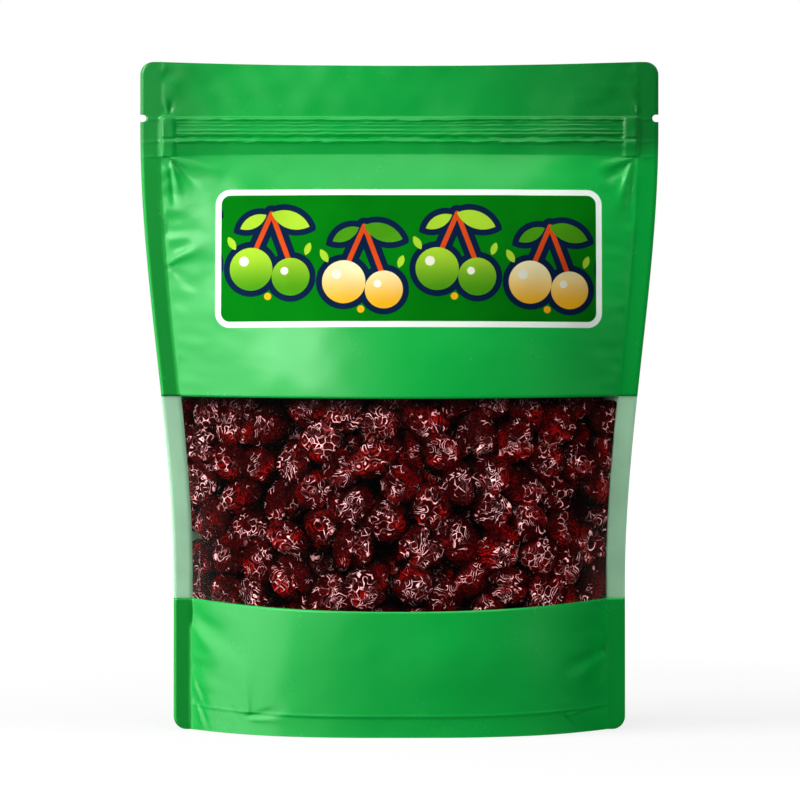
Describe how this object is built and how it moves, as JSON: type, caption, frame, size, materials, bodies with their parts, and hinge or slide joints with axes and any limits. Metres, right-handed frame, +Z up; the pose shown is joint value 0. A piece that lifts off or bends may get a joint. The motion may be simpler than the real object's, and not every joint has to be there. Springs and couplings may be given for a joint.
{
  "type": "stand-up zip pouch of dried sour cherries",
  "caption": "Stand-up zip pouch with welded side seals, tear notches and a rounded belly, and a clear window band that shows a heap of dried sour cherries.",
  "frame": {"origin": "centre of the base, on the surface that the pouch stands on", "axes": "+Z up to the top edge, +X to the right seen from the front, -Y out of the window"},
  "size_m": [0.16, 0.0606, 0.206],
  "materials": {
    "printed_film": "satin green laminate film",
    "dried_fruit": "glossy wrinkled dark red skin",
    "clear_film": "clear glossy film"
  },
  "bodies": {
    "root": {"pouch": "printed_film", "cherries": "dried_fruit", "window_film": "clear_film"}
  },
  "joints": []
}
